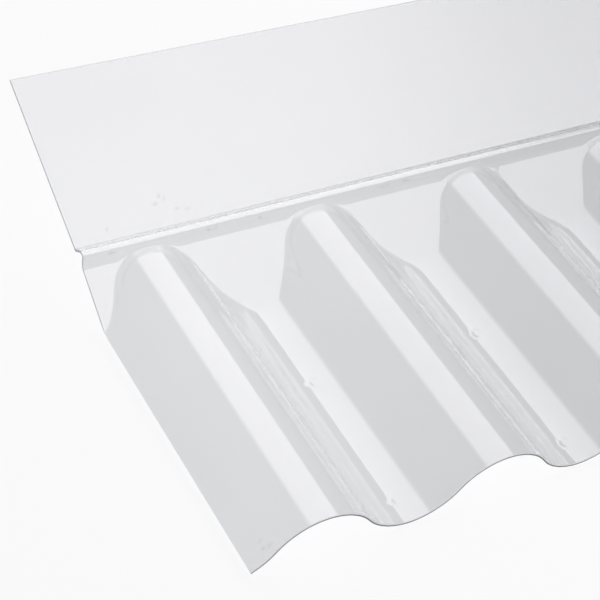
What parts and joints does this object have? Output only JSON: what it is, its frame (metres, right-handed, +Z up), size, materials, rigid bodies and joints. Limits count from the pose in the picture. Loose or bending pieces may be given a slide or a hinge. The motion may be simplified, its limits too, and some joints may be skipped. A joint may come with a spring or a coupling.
{
  "type": "wall flashing",
  "caption": "Clear corrugated wall flashing: a wavy apron laps over roofing sheets, and a flat panel on a hinge bead is fixed to the wall above.",
  "frame": {"origin": "under the middle of the part's box, on the floor that the apron's valleys lie on", "axes": "+X along the wall, +Y towards the wall, +Z up"},
  "size_m": [0.95, 0.227, 0.0528],
  "materials": {
    "clear_sheet": "clear glossy rigid PVC sheet, slightly grey at the cut edges"
  },
  "bodies": {
    "root": {"wall_flashing": "clear_sheet"}
  },
  "joints": []
}
